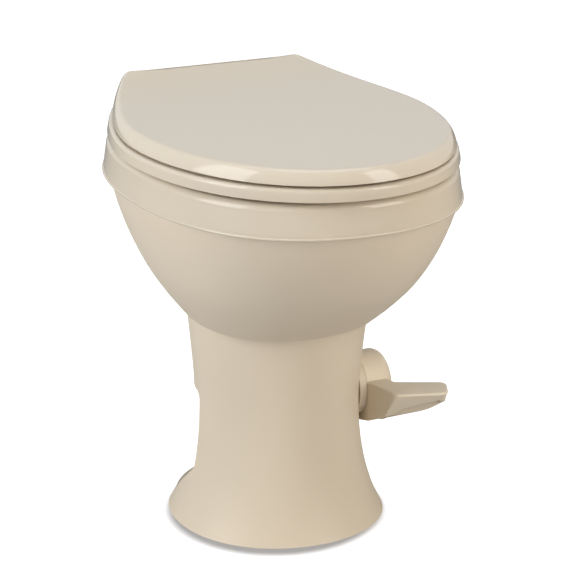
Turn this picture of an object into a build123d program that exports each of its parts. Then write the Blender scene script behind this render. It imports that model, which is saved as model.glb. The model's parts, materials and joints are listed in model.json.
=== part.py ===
from build123d import *
import os
from math import cos, radians, sin

# A toilet for a travel vehicle, flushed by a foot pedal.
# Millimetres. Up is +Z, the front is -Y, and the pedal side is +X.
# The origin is on the floor, at the centre of the waste outlet.
os.makedirs("parts", exist_ok=True)

# Clearances and overruns
run_fit = 0.05  # radial, for what turns or slides
snug_fit = 0.03  # radial, for what is held
soft_gap = 0.3  # between a soft piece and what moves past it
side_gap = 0.6  # beside a turning piece
over = 12.0  # how far a cut runs past what it cuts

# Levels above the floor
seam_z = 241.0
band_z = 391.0
rim_z = 428.0
seat_gap = 3.5
seat_thick = 14.0
lid_gap = 3.0
lid_front_thick = 16.0
lid_back_thick = 37.0
shaft_z = 137.0
seat_low_z = rim_z + seat_gap
seat_top_z = seat_low_z + seat_thick
lid_low_z = seat_top_z + lid_gap

# How full an oval is: 0.5523 would be an ellipse
front_full_share = 0.64
back_full_share = 0.59
pedestal_full_share = 0.5523
haunch_full_share = 0.57

# Bowl, outside
seam_half = 103.0
seam_front = 112.5
seam_back = 107.0
bowl_half = 176.9
bowl_front = 236.8
bowl_back = 211.7
bowl_wall = 8.0
bowl_lip_in = 6.5
bowl_level_shares = (0.0, 0.166, 0.364, 0.589, 0.801, 1.0)
bowl_side_shares = (0.0, 0.266, 0.532, 0.747, 0.895, 1.0)
bowl_back_shares = (0.0, 0.234, 0.43, 0.71, 0.91, 1.0)

# Bowl, neck and outlet
outlet_r = 30.0
outlet_z = 200.0
neck_top_r = 93.5
neck_r = 64.0
neck_bend_z = 208.0
well_start_r = 34.0
well_low_r = 46.0
well_low_z = 207.0
well_mid_r = 67.0
well_mid_z = 222.0
well_top_r = 92.0

# Flush ball and its housing
ball_r = 60.0
ball_wall = 4.0
ball_reach = 38.0  # degrees to each side of the top
ball_hub_r = 12.5
ball_hub_long = 13.0
housing_r = 62.5
housing_wall = 4.0
housing_flare_z = 108.0
drain_r = 38.1
drain_top_z = 72.0
drain_wall = 3.6
joint_z = 176.0  # face where the housing meets the bowl
flange_thick = 6.0
flange_r = 71.0
seal_pocket_r = 58.0
seal_top_z = 190.0
seal_lip_r = 31.5
bearing_boss_r = 15.0
bearing_boss_long = 4.0
bush_wall = 2.0
bush_flange_r = 13.0
bush_flange_thick = 1.5

# Shaft, cam and water valve
shaft_r = 8.0
square_side = 11.0
cam_thick = 5.0
cam_start_r = 17.0
cam_lift = 6.0
lobe_spare = 8.0  # degrees of lobe beyond each end of the travel
lobe_steps = 12
pedal_travel = 70.0  # degrees
cam_hub_r = 12.0
plunger_drop = 9.0
plunger_r = 3.0
plunger_head_r = 8.0
plunger_head_thick = 2.6
plunger_long = 44.0
valve_r = 11.0
valve_long = 52.0
valve_flange_thick = 4.0
valve_flange_half = 13.0
valve_port_from_end = 12.0
inlet_r = 10.5
inlet_long = 16.0
water_bore_r = 5.0
valve_screw_out = 14.0
valve_screw_r = 1.5
valve_screw_ear = 4.0
valve_screw_head_r = 2.6
valve_screw_head_thick = 2.0

# Pedestal
top_half = 100.6
top_long = 105.4
top_y = 2.0
foot_y = 9.5
wall = 4.5
pedestal_level_shares = (0.0, 0.05, 0.12, 0.25, 0.42, 0.62, 0.81, 1.0)
pedestal_size_shares = (1.212, 1.145, 1.078, 0.993, 0.934, 0.9175, 0.952, 1.0)
plate_thick = 17.0
sill_z = 24.0
door_knee_z = 62.0
door_toe_y = 62.0
door_knee_round = 14.0
door_top_z = 147.0
door_left_y = 9.5
door_right_y = 42.0
door_round = 9.0
hub_boss_r = 35.0
hub_boss_x = 94.0
lug_thick = 4.0
lug_in_x = 60.0
lug_drop = 24.0

# Floor fixing
floor_bolt_spacing = 152.4
floor_bolt_r = 4.5
foot_r = 62.0
foot_thick = 4.0
foot_screw_circle_r = 52.0
foot_screw_r = 2.0
foot_screw_head_r = 4.0
foot_screw_head_thick = 2.6
foot_screw_long = 8.0
foot_screw_count = 4
screw_turn = 180 / foot_screw_count  # degrees, half a step from +X to the first foot screw
floor_seal_in = 44.0
floor_seal_out = 58.0
floor_seal_thick = 8.0

# Clamp round the joint of bowl and housing
clamp_out_r = 76.0
clamp_lip = 3.5
clamp_gap = 3.0
clamp_lug_long = 8.0
clamp_lug_thick = 8.0
clamp_screw_r = 2.5
clamp_head_r = 4.2
clamp_head_thick = 3.0
clamp_nut_thick = 4.0

# Rim with its deck
rim_out_side = 4.6
rim_out_front = 4.9
rim_out_back = 28.3
rim_half_low = bowl_half + rim_out_side
rim_front_low = bowl_front + rim_out_front
rim_back_low = bowl_back + rim_out_back
rim_flare = 5.2
rim_wall = 4.0
rim_round = 5.0
rim_low_round = 3.0
deck_half = 106.0
hinge_behind_bowl = 10.3
hinge_y = bowl_back + hinge_behind_bowl
deck_behind_hinge = 20.0
deck_back = hinge_y + deck_behind_hinge
deck_start_y = 120.0
deck_corner_r = 22.0
deck_inner_r = 26.0
rim_hole_half = 128.0
rim_hole_front = 188.0
rim_hole_back = 138.0
rim_skirt = 20.0
oval_y = 3.2

# Seat and lid outlines
seat_in_side = 0.5
seat_half = rim_half_low - seat_in_side
seat_out_front = 2.8
seat_front = rim_front_low + seat_out_front
seat_draft = 2.5
seat_hole_half = 106.0
seat_hole_front = 168.0
seat_hole_back = 112.0
seat_round = 5.0
lid_in_side = 5.0
lid_half = seat_half - lid_in_side
lid_in_front = 1.9
lid_front = seat_front - lid_in_front
lid_round = 14.5
lid_bend_y = 49.0
lid_rise_y = 68.0
lid_rim_width = 32.0
lid_skin = 9.0
seat_corner_in = 68.0
seat_corner_x = seat_half - seat_corner_in
seat_before_hinge = 19.7
seat_corner_y = hinge_y - seat_before_hinge
seat_low_share = 0.28
seat_high_share = 0.34
lid_corner_in = 66.9
lid_corner_x = lid_half - lid_corner_in
lid_before_hinge = 29.8
lid_corner_y = hinge_y - lid_before_hinge
lid_low_share = 0.06
lid_high_share = 0.55
corner_r = 18.0
back_hollow = 6.2
haunch_y = -7.5
haunch_lean = 34.0  # degrees, how much the rear of the side leans in
bumper_r = 7.0
bumper_side_share = 0.86
bumper_front_y = -62.0
bumper_back_y = 112.0
bumper_back_share = 0.88

# Seat hinges
hinge_x = 69.85
hinge_z = 449.0
hinge_pin_r = 4.0
knuckle_r = 8.5
post_width = 16.0
post_base_r = 9.0
post_base_thick = 5.0
ear_width = 12.0
ear_thick = 9.0
ear_in = 12.0
hinge_bolt_r = 4.0
hinge_bolt_long = 22.0
wing_hub_r = 7.0
wing_thick = 8.0
wing_long = 13.0
wing_width = 3.0

# Pedal
hub_r = 36.0
hub_in_x = 95.0
hub_out_x = 130.0
hub_round = 12.0
cup_r = 31.5
cup_wall = 9.0
pad_axis = 24.3  # degrees the pad turns forward from square
pad_width = 36.0
pad_back_x = 123.0
pad_back_y = -45.5
pad_long = 60.0
pad_top_z = 149.0
pad_round = 11.0
pad_edge = 2.5
pedal_wall = 3.4
arm_low_z = 92.0
arm_low_y = -13.0
arm_heel_y = 18.0
arm_front_y = -104.0
arm_front_thick = 6.5
pedal_screw_r = 3.0
pedal_screw_head_r = 6.0
pedal_screw_head_thick = 3.5
pedal_screw_long = 12.0
cartridge_r = 26.0
cartridge_thick = 6.0
cartridge_hub_r = 13.0
cartridge_hub_long = 12.0
cartridge_screw_circle_r = 21.0
cartridge_screw_r = 2.0
cartridge_head_r = 3.6
cartridge_head_thick = 2.4
cartridge_screw_long = 5.0
cartridge_screw_count = 3
spring_wire_half = 1.5
spring_pitch = 4.0
spring_turns = 3

# Water line up the back
tube_r = 8.0
tube_bore_r = 5.6
tube_bend_r = 42.0
tube_rise_z = 226.0
tube_top_bend_z = 300.0
breaker_behind_bowl = 11.8
breaker_y = bowl_back + breaker_behind_bowl
breaker_r = 12.0
breaker_low_z = 346.0
breaker_top_z = 387.0
breaker_cap_r = 9.0
breaker_port_r = 8.0
breaker_port_long = 1.5
barb_long = 16.0
nozzle_z = 372.0
nozzle_r = 6.0
nozzle_head_r = 9.0
nozzle_head_thick = 7.0
nozzle_back_step = 11.0
nozzle_slot = 2.4
tube_clamp_wall = 1.6
tube_clamp_width = 9.0


def quarter(half_width, reach, centre_y, full):
    """One quarter of an oval, from its widest point to its tip, on the +X side."""
    side = (half_width, centre_y)
    side_pull = (half_width, centre_y + full * reach)
    tip_pull = (full * half_width, centre_y + reach)
    Bezier(side, side_pull, tip_pull, (0, centre_y + reach))


def oval(half_width, front, back, centre_y=oval_y, fulls=(front_full_share, back_full_share)):
    """Closed oval face that reaches to y = -front and y = back."""
    with BuildSketch() as shape:
        with BuildLine():
            quarter(half_width, -front - centre_y, centre_y, fulls[0])
            quarter(half_width, back - centre_y, centre_y, fulls[1])
            mirror(about=Plane.YZ)
        make_face()
    return shape.sketch


def hinged_outline(half_width, front, corner_place, low_share, high_share, inset=0.0):
    """Seat and lid outline: an oval front, leaning sides and a hollow back edge."""
    widest = half_width - inset
    corner = (corner_place[0] - inset, corner_place[1] - inset)
    run = corner[1] - haunch_y
    lean = radians(haunch_lean)
    low_pull = (widest, haunch_y + low_share * run)
    high_pull = (corner[0] + high_share * run * sin(lean), corner[1] - high_share * run * cos(lean))
    with BuildSketch() as shape:
        with BuildLine():
            quarter(widest, -(front - inset) - haunch_y, haunch_y, haunch_full_share)
            Bezier((widest, haunch_y), low_pull, high_pull, corner)
            mirror(about=Plane.YZ)
            ThreePointArc(corner, (0, corner[1] - back_hollow), (-corner[0], corner[1]))
        make_face()
        fillet(shape.vertices().group_by(Axis.Y)[-1], corner_r)
    return shape.sketch


def deck_outline(inset):
    """Rim outline, smaller by inset all round: an oval with a squared deck behind it."""
    reach = deck_back - inset - deck_start_y
    with BuildSketch() as shape:
        add(oval(rim_half_low - inset, rim_front_low - inset, rim_back_low - inset))
        with Locations((0, deck_start_y + reach / 2)):
            Rectangle(2 * (deck_half - inset), reach)
        corners = shape.vertices().group_by(Axis.Y)
        fillet(corners[-1], deck_corner_r - inset)
        fillet(corners[-2], deck_inner_r + inset)
    return shape.sketch


def bowl_section(level_share, side_share, back_share, inset=0.0):
    """One level of the bowl's outside, or of its inside when it is inset."""
    half = seam_half + (bowl_half - seam_half) * side_share - inset
    front = seam_front + (bowl_front - seam_front) * side_share - inset
    back = seam_back + (bowl_back - seam_back) * back_share - inset
    level = seam_z + (band_z - seam_z) * level_share
    return level, oval(half, front, back)


def pedestal_solid(inset, overrun):
    """The waisted column as one solid, smaller by inset all round. It leans back towards its foot."""
    with BuildPart() as waisted:
        for level, size in zip(pedestal_level_shares, pedestal_size_shares):
            middle_y = foot_y + (top_y - foot_y) * level
            half = size * top_half - inset
            reach = size * top_long - inset
            with BuildSketch(Plane.XY.offset(level * seam_z)):
                fulls = (pedestal_full_share, pedestal_full_share)
                add(oval(half, reach - middle_y, reach + middle_y, middle_y, fulls))
        loft()
        if overrun:
            extrude(waisted.faces().sort_by(Axis.Z)[-1], amount=overrun)
    return waisted.part


def across(x):
    """Plane square to the shaft at x, with its origin on the shaft's axis."""
    return Plane(origin=(x, 0, shaft_z), x_dir=(0, 1, 0), z_dir=(1, 0, 0))


def rearward(y):
    """Plane square to the valve's plunger at y, with its origin on the plunger's axis."""
    return Plane(origin=(plunger_x, y, valve_z), x_dir=(-1, 0, 0), z_dir=(0, 1, 0))


# Pedestal: a hollow waisted column with a floor of its own, open behind
wall_hollow = split(pedestal_solid(wall, over), bisect_by=Plane.XY.offset(plate_thick), keep=Keep.TOP)
boss_start_x = hub_boss_x - 2 * wall
foot_long = pedestal_size_shares[0] * top_long + foot_y + over
valve_z = shaft_z - plunger_drop
bush_out_x = housing_r + housing_wall + bearing_boss_long
cam_x = bush_out_x + bush_flange_thick + side_gap
plunger_x = cam_x + cam_thick / 2
lug_half_width = (top_half - lug_in_x) / 2
valve_screw_places = ((-valve_screw_out, 0), (valve_screw_out, 0))

with BuildPart() as pedestal:
    add(pedestal_solid(0, 0))
    with BuildSketch(across(boss_start_x)):
        Circle(hub_boss_r)
    extrude(amount=hub_boss_x - boss_start_x)
    add(wall_hollow, mode=Mode.SUBTRACT)
    # Doorway: its left side shows, its right side starts behind the pedal, and its sill slopes down
    for edge_y, side in ((door_left_y, -1), (door_right_y, 1)):
        toe_share = (edge_y - door_left_y) / (door_toe_y - door_left_y)
        knee_z = door_knee_z + (sill_z - door_knee_z) * toe_share
        with BuildSketch(Plane.YZ) as doorway:
            with BuildLine():
                Polyline(
                    (edge_y, knee_z),
                    (edge_y, door_top_z),
                    (foot_long, door_top_z),
                    (foot_long, sill_z),
                    (door_toe_y, sill_z),
                    close=True,
                )
            make_face()
            # In the sketch's own plane X runs backwards and Y runs up
            fillet(doorway.vertices().group_by(Axis.X)[0].sort_by(Axis.Y)[-1], door_round)
            fillet(doorway.vertices().group_by(Axis.X)[0].sort_by(Axis.Y)[0], door_knee_round)
        extrude(amount=side * foot_long, mode=Mode.SUBTRACT)
    # Lug that carries the water valve, trimmed by the wall's own curve
    with BuildSketch(Plane.XZ.offset(-door_right_y)) as lug:
        with Locations((lug_in_x + lug_half_width, valve_z)):
            Rectangle(2 * lug_half_width, lug_drop)
    lug_block = extrude(lug.sketch, amount=lug_thick, mode=Mode.PRIVATE)
    add(lug_block & wall_hollow)
    # Holes for the shaft, the plunger, the drain and the fixings
    with BuildSketch(across(boss_start_x - over)):
        Circle(shaft_r + side_gap)
    extrude(amount=2 * over + hub_boss_x - boss_start_x, mode=Mode.SUBTRACT)
    with BuildSketch(Plane.XZ.offset(-door_right_y - over)):
        with Locations((cam_x + cam_thick / 2, valve_z)):
            Circle(plunger_r + side_gap)
    extrude(amount=lug_thick + 2 * over, mode=Mode.SUBTRACT)
    with BuildSketch():
        Circle(drain_r + drain_wall + side_gap)
        with Locations((-floor_bolt_spacing / 2, 0), (floor_bolt_spacing / 2, 0)):
            Circle(floor_bolt_r)
    extrude(amount=plate_thick, mode=Mode.SUBTRACT)
    with BuildSketch():
        Circle(floor_seal_out + snug_fit)
    extrude(amount=floor_seal_thick, mode=Mode.SUBTRACT)
    with BuildSketch(Plane.XY.offset(plate_thick)):
        with PolarLocations(foot_screw_circle_r, foot_screw_count, start_angle=screw_turn):
            Circle(foot_screw_r)
    extrude(amount=-foot_screw_long, mode=Mode.SUBTRACT)
    with BuildSketch(across(hub_boss_x)):
        with PolarLocations(cartridge_screw_circle_r, cartridge_screw_count):
            Circle(cartridge_screw_r + snug_fit)
    extrude(amount=-cartridge_screw_long - side_gap, mode=Mode.SUBTRACT)
    with BuildSketch(rearward(door_right_y)):
        with Locations(*valve_screw_places):
            Circle(valve_screw_r + snug_fit)
    extrude(amount=-lug_thick, mode=Mode.SUBTRACT)
pedestal.part.label = "pedestal"
export_step(pedestal.part, "parts/pedestal.step")

with BuildPart() as floor_seal:
    with BuildSketch():
        Circle(floor_seal_out)
        Circle(floor_seal_in, mode=Mode.SUBTRACT)
    extrude(amount=floor_seal_thick)
floor_seal.part.label = "floor_seal"
export_step(floor_seal.part, "parts/floor_seal.step")

# Ball housing: drum, funnel and drain pipe in one moulding
with BuildPart() as ball_housing:
    with BuildSketch(Plane.XZ):
        with BuildLine():
            Polyline(
                (drain_r, 0),
                (drain_r + drain_wall, 0),
                (drain_r + drain_wall, plate_thick),
                (foot_r, plate_thick),
                (foot_r, plate_thick + foot_thick),
                (drain_r + drain_wall, plate_thick + foot_thick),
                (drain_r + drain_wall, drain_top_z),
                (housing_r + housing_wall, housing_flare_z),
                (housing_r + housing_wall, joint_z - flange_thick),
                (flange_r, joint_z - flange_thick),
                (flange_r, joint_z),
                (housing_r, joint_z),
                (housing_r, housing_flare_z),
                (drain_r, drain_top_z),
                close=True,
            )
        make_face()
    revolve(axis=Axis.Z)
    for side in (-1, 1):
        with BuildSketch(across(side * (housing_r + side_gap))):
            Circle(bearing_boss_r)
        extrude(amount=side * (housing_wall + bearing_boss_long - side_gap))
        with BuildSketch(across(0)):
            Circle(shaft_r + bush_wall + snug_fit)
        extrude(amount=side * (bush_out_x + over), mode=Mode.SUBTRACT)
    with BuildSketch(Plane.XY.offset(plate_thick)):
        with PolarLocations(foot_screw_circle_r, foot_screw_count, start_angle=screw_turn):
            Circle(foot_screw_r + snug_fit)
    extrude(amount=foot_thick, mode=Mode.SUBTRACT)
ball_housing.part.label = "ball_housing"
export_step(ball_housing.part, "parts/ball_housing.step")

with BuildPart() as foot_screws:
    with BuildSketch(Plane.XY.offset(plate_thick + foot_thick)):
        with PolarLocations(foot_screw_circle_r, foot_screw_count, start_angle=screw_turn):
            Circle(foot_screw_head_r)
    extrude(amount=foot_screw_head_thick)
    with BuildSketch(Plane.XY.offset(plate_thick + foot_thick)):
        with PolarLocations(foot_screw_circle_r, foot_screw_count, start_angle=screw_turn):
            Circle(foot_screw_r - snug_fit)
    extrude(amount=-(foot_thick + foot_screw_long - side_gap))
foot_screws.part.label = "foot_screws"
export_step(foot_screws.part, "parts/foot_screws.step")

# Bushes in the two bearing bosses
for name, side in (("bush_left", -1), ("bush_right", 1)):
    with BuildPart() as bush:
        with BuildSketch(across(side * (housing_r + side_gap))):
            Circle(shaft_r + bush_wall)
        extrude(amount=side * (bush_out_x - housing_r - side_gap))
        with BuildSketch(across(side * bush_out_x)):
            Circle(bush_flange_r)
        extrude(amount=side * bush_flange_thick)
        with BuildSketch(across(0)):
            Circle(shaft_r + run_fit)
        extrude(amount=side * (bush_out_x + over), mode=Mode.SUBTRACT)
    bush.part.label = name
    export_step(bush.part, f"parts/{name}.step")

# Flush ball: a slice of a hollow ball, hung on a hub at each side
slice_turn = radians(ball_reach)
slice_plane = Plane(origin=(0, 0, shaft_z), x_dir=(1, 0, 0), z_dir=(0, -cos(slice_turn), -sin(slice_turn)))
with BuildPart() as flush_ball:
    with BuildSketch(slice_plane):
        Circle(ball_r)
        Circle(ball_r - ball_wall, mode=Mode.SUBTRACT)
        with Locations((0, -ball_r)):
            Rectangle(2 * ball_r, 2 * ball_r, mode=Mode.SUBTRACT)
    revolve(axis=Axis((0, 0, shaft_z), (1, 0, 0)), revolution_arc=2 * ball_reach)
    for side in (-1, 1):
        with BuildSketch(across(side * (ball_r - ball_hub_long))):
            Circle(ball_hub_r)
        extrude(amount=side * ball_hub_long)
        with BuildSketch(across(side * (ball_r - ball_hub_long - over))):
            Rectangle(square_side + 2 * snug_fit, square_side + 2 * snug_fit)
        extrude(amount=side * (ball_hub_long + 2 * over), mode=Mode.SUBTRACT)
flush_ball.part.label = "flush_ball"
export_step(flush_ball.part, "parts/flush_ball.step")

with BuildPart() as bowl_seal:
    with BuildSketch(Plane.XY.offset(joint_z + soft_gap)):
        Circle(seal_pocket_r - snug_fit)
        Circle(seal_lip_r, mode=Mode.SUBTRACT)
    extrude(amount=seal_top_z - joint_z - soft_gap)
    with Locations((0, 0, shaft_z)):
        Sphere(ball_r + soft_gap, mode=Mode.SUBTRACT)
bowl_seal.part.label = "bowl_seal"
export_step(bowl_seal.part, "parts/bowl_seal.step")

# Bowl: outside and inside lofts, a neck, and a pocket for the seal
bowl_top_z = rim_z - rim_wall
bowl_levels = [bowl_section(*shares) for shares in zip(bowl_level_shares, bowl_side_shares, bowl_back_shares)]
inner_levels = [
    bowl_section(*shares, bowl_wall)
    for shares in zip(bowl_level_shares[1:], bowl_side_shares[1:], bowl_back_shares[1:])
]
well_levels = [
    (outlet_z, oval(well_start_r, well_start_r, well_start_r, 0)),
    (well_low_z, oval(well_low_r, well_low_r, well_low_r, 0)),
    (well_mid_z, oval(well_mid_r, well_mid_r, well_mid_r, 0)),
    (seam_z, oval(well_top_r, seam_front - bowl_wall, seam_back - bowl_wall)),
]
lip = (bowl_top_z, oval(bowl_half - bowl_lip_in, bowl_front - bowl_lip_in, bowl_back - bowl_lip_in))
lip_inset = bowl_lip_in + bowl_wall
inner_lip = (bowl_top_z, oval(bowl_half - lip_inset, bowl_front - lip_inset, bowl_back - lip_inset))

with BuildPart() as bowl_hollow:
    for level, shape in well_levels + inner_levels:
        with BuildSketch(Plane.XY.offset(level)):
            add(shape)
    loft()
    for level, shape in (inner_levels[-1], inner_lip):
        with BuildSketch(Plane.XY.offset(level)):
            add(shape)
    loft(ruled=True)
    extrude(bowl_hollow.faces().sort_by(Axis.Z)[-1], amount=over)

with BuildPart() as bowl:
    for level, shape in bowl_levels:
        with BuildSketch(Plane.XY.offset(level)):
            add(shape)
    loft()
    for level, shape in (bowl_levels[-1], lip):
        with BuildSketch(Plane.XY.offset(level)):
            add(shape)
    loft(ruled=True)
    with BuildSketch(Plane.XZ):
        with BuildLine():
            Polyline(
                (0, joint_z + soft_gap),
                (flange_r, joint_z + soft_gap),
                (flange_r, joint_z + soft_gap + flange_thick),
                (neck_r, joint_z + soft_gap + flange_thick),
                (neck_r, neck_bend_z),
                (neck_top_r, seam_z),
                (0, seam_z),
                close=True,
            )
        make_face()
    revolve(axis=Axis.Z)
    add(bowl_hollow.part, mode=Mode.SUBTRACT)
    with BuildSketch():
        Circle(outlet_r)
    extrude(amount=outlet_z + over, mode=Mode.SUBTRACT)
    with BuildSketch():
        Circle(seal_pocket_r)
    extrude(amount=seal_top_z, mode=Mode.SUBTRACT)
    with BuildSketch(Plane.XZ.offset(-breaker_y)):
        with Locations((0, nozzle_z)):
            Circle(nozzle_r + snug_fit)
    extrude(amount=over + breaker_y - bowl_back + 2 * bowl_wall, mode=Mode.SUBTRACT)
bowl.part.label = "bowl"
export_step(bowl.part, "parts/bowl.step")

# Rim: a hollow band with a deck for the hinges and a skirt round its hole
low_outline = deck_outline(0)
top_outline = deck_outline(rim_flare)
low_inside = deck_outline(rim_wall)
top_inside = deck_outline(rim_flare + rim_wall)
hole_outline = oval(rim_hole_half, rim_hole_front, rim_hole_back)

with BuildPart() as rim_deck:
    with BuildSketch(Plane.XY.offset(band_z)):
        add(low_outline)
    with BuildSketch(Plane.XY.offset(rim_z)):
        add(top_outline)
    loft(ruled=True)
    fillet(rim_deck.faces().sort_by(Axis.Z)[-1].edges(), rim_round)
    fillet(rim_deck.faces().sort_by(Axis.Z)[0].edges(), rim_low_round)
    with BuildSketch(Plane.XY.offset(band_z)):
        add(low_inside)
    with BuildSketch(Plane.XY.offset(bowl_top_z)):
        add(top_inside)
    loft(ruled=True, mode=Mode.SUBTRACT)
    with BuildSketch(Plane.XY.offset(bowl_top_z - rim_skirt)):
        add(oval(rim_hole_half + rim_wall, rim_hole_front + rim_wall, rim_hole_back + rim_wall))
    extrude(amount=rim_skirt)
    with BuildSketch(Plane.XY.offset(bowl_top_z - rim_skirt - over)):
        add(hole_outline)
    extrude(amount=rim_skirt + 3 * over, mode=Mode.SUBTRACT)
    with BuildSketch(Plane.XY.offset(rim_z)):
        with Locations((-hinge_x, hinge_y), (hinge_x, hinge_y)):
            Circle(hinge_bolt_r + snug_fit)
    extrude(amount=-rim_wall - over, mode=Mode.SUBTRACT)
rim_deck.part.label = "rim_deck"
export_step(rim_deck.part, "parts/rim_deck.step")

# Seat
pin_reach = post_width / 2 + side_gap + ear_width
inner_ear_x = hinge_x - post_width / 2 - side_gap - ear_width
outer_ear_x = hinge_x + post_width / 2 + side_gap


def ear(start_x, low, thick, root_y):
    """Hinge ear as a side profile from root_y back to a knuckle on the hinge axis."""
    with BuildPart() as piece:
        with BuildSketch(Plane.YZ.offset(start_x)):
            with Locations((hinge_y, hinge_z)):
                Circle(knuckle_r)
            with Locations(((root_y + hinge_y) / 2, low + thick / 2)):
                Rectangle(hinge_y - root_y, thick)
        extrude(amount=ear_width)
        with BuildSketch(Plane.YZ.offset(start_x - over)):
            with Locations((hinge_y, hinge_z)):
                Circle(hinge_pin_r + run_fit)
        extrude(amount=ear_width + 2 * over, mode=Mode.SUBTRACT)
    return piece.part


seat_place = (seat_half, seat_front, (seat_corner_x, seat_corner_y), seat_low_share, seat_high_share)
seat_outline = hinged_outline(*seat_place)
seat_top_outline = hinged_outline(*seat_place, inset=seat_draft)
seat_hole = oval(seat_hole_half, seat_hole_front, seat_hole_back)
with BuildPart() as seat_ring:
    with BuildSketch(Plane.XY.offset(seat_low_z)):
        add(seat_outline)
    with BuildSketch(Plane.XY.offset(seat_top_z)):
        add(seat_top_outline)
    loft(ruled=True)
    with BuildSketch(Plane.XY.offset(seat_low_z - over)):
        add(seat_hole)
    extrude(amount=seat_thick + 2 * over, mode=Mode.SUBTRACT)
    fillet(seat_ring.faces().sort_by(Axis.Z)[-1].edges(), seat_round)
    for start_x in (inner_ear_x, -inner_ear_x - ear_width):
        add(ear(start_x, seat_top_z - ear_thick, ear_thick, seat_corner_y - back_hollow - ear_in))
seat_ring.part.label = "seat_ring"
export_step(seat_ring.part, "parts/seat_ring.step")

bumper_places = (
    (bumper_side_share * lid_half, bumper_front_y),
    (-bumper_side_share * lid_half, bumper_front_y),
    (bumper_back_share * bumper_side_share * lid_half, bumper_back_y),
    (-bumper_back_share * bumper_side_share * lid_half, bumper_back_y),
)
with BuildPart() as seat_bumpers:
    with BuildSketch(Plane.XY.offset(rim_z)):
        with Locations(*bumper_places):
            Circle(bumper_r)
    extrude(amount=seat_gap)
seat_bumpers.part.label = "seat_bumpers"
export_step(seat_bumpers.part, "parts/seat_bumpers.step")

with BuildPart() as lid_bumpers:
    with BuildSketch(Plane.XY.offset(seat_top_z)):
        with Locations(*bumper_places):
            Circle(bumper_r)
    extrude(amount=lid_gap)
lid_bumpers.part.label = "lid_bumpers"
export_step(lid_bumpers.part, "parts/lid_bumpers.step")

# Lid: level in front, rising in a curve to its hinge edge, round-shouldered, hollow below
def under_lid_top(drop):
    """All that lies under the lid's top surface, or under a surface lower by drop."""
    front_z = lid_low_z + lid_front_thick - drop
    back_z = lid_low_z + lid_back_thick - drop
    with BuildPart() as block:
        with BuildSketch(Plane.YZ.offset(-lid_half - over)):
            with BuildLine():
                Bezier(
                    (-lid_front - over, front_z),
                    (lid_bend_y, front_z),
                    (lid_rise_y, front_z),
                    ((lid_rise_y + lid_corner_y) / 2, front_z),
                    (lid_corner_y, back_z),
                )
                Polyline(
                    (lid_corner_y, back_z),
                    (lid_corner_y, lid_low_z - over),
                    (-lid_front - over, lid_low_z - over),
                    (-lid_front - over, front_z),
                )
            make_face()
        extrude(amount=2 * (lid_half + over))
    return block.part


lid_place = (lid_half, lid_front, (lid_corner_x, lid_corner_y), lid_low_share, lid_high_share)
lid_outline = hinged_outline(*lid_place)
lid_inside = hinged_outline(*lid_place, inset=lid_rim_width)
with BuildPart() as lid_recess:
    with BuildSketch(Plane.XY.offset(lid_low_z - over)):
        add(lid_inside)
    extrude(amount=lid_back_thick + over)
    add(under_lid_top(lid_skin), mode=Mode.INTERSECT)
with BuildPart() as lid:
    with BuildSketch(Plane.XY.offset(lid_low_z)):
        add(lid_outline)
    extrude(amount=lid_back_thick + over)
    add(under_lid_top(0), mode=Mode.INTERSECT)
    top_face = lid.faces().sort_by(SortBy.AREA)[-2:].sort_by(Axis.Z)[-1]
    fillet(top_face.edges(), lid_round)
    add(lid_recess.part, mode=Mode.SUBTRACT)
    for start_x in (outer_ear_x, -outer_ear_x - ear_width):
        add(ear(start_x, lid_low_z, ear_thick, lid_corner_y - back_hollow - ear_in))
lid.part.label = "lid"
export_step(lid.part, "parts/lid.step")

# Hinge posts, pins, bolts and wing nuts
for name, middle_x in (("left", -hinge_x), ("right", hinge_x)):
    with BuildPart() as post:
        with BuildSketch(Plane.XY.offset(rim_z)):
            with Locations((middle_x, hinge_y)):
                Circle(post_base_r)
        extrude(amount=post_base_thick)
        with BuildSketch(Plane.YZ.offset(middle_x - post_width / 2)):
            with Locations((hinge_y, hinge_z)):
                Circle(knuckle_r)
            with Locations((hinge_y, (hinge_z + rim_z + post_base_thick) / 2)):
                Rectangle(2 * knuckle_r, hinge_z - rim_z - post_base_thick)
        extrude(amount=post_width)
        with BuildSketch(Plane.YZ.offset(middle_x - post_width)):
            with Locations((hinge_y, hinge_z)):
                Circle(hinge_pin_r + snug_fit)
        extrude(amount=2 * post_width, mode=Mode.SUBTRACT)
    post.part.label = f"hinge_post_{name}"
    export_step(post.part, f"parts/hinge_post_{name}.step")

    with BuildPart() as pin:
        with BuildSketch(Plane.YZ.offset(middle_x - pin_reach)):
            with Locations((hinge_y, hinge_z)):
                Circle(hinge_pin_r)
        extrude(amount=2 * pin_reach)
    pin.part.label = f"hinge_pin_{name}"
    export_step(pin.part, f"parts/hinge_pin_{name}.step")

with BuildPart() as hinge_bolts:
    with BuildSketch(Plane.XY.offset(rim_z)):
        with Locations((-hinge_x, hinge_y), (hinge_x, hinge_y)):
            Circle(hinge_bolt_r)
    extrude(amount=-hinge_bolt_long)
hinge_bolts.part.label = "hinge_bolts"
export_step(hinge_bolts.part, "parts/hinge_bolts.step")

with BuildPart() as wing_nuts:
    with BuildSketch(Plane.XY.offset(bowl_top_z)):
        with Locations((-hinge_x, hinge_y), (hinge_x, hinge_y)):
            Circle(wing_hub_r)
            Circle(hinge_bolt_r + snug_fit, mode=Mode.SUBTRACT)
    extrude(amount=-wing_thick)
    with BuildSketch(Plane.XY.offset(bowl_top_z - wing_thick / 2)):
        for middle_x in (-hinge_x, hinge_x):
            for way in (-1, 1):
                with Locations((middle_x + way * (wing_hub_r + wing_long / 2 - wing_width / 2), hinge_y)):
                    Rectangle(wing_long, wing_width)
    extrude(amount=-wing_thick)
wing_nuts.part.label = "wing_nuts"
export_step(wing_nuts.part, "parts/wing_nuts.step")

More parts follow.
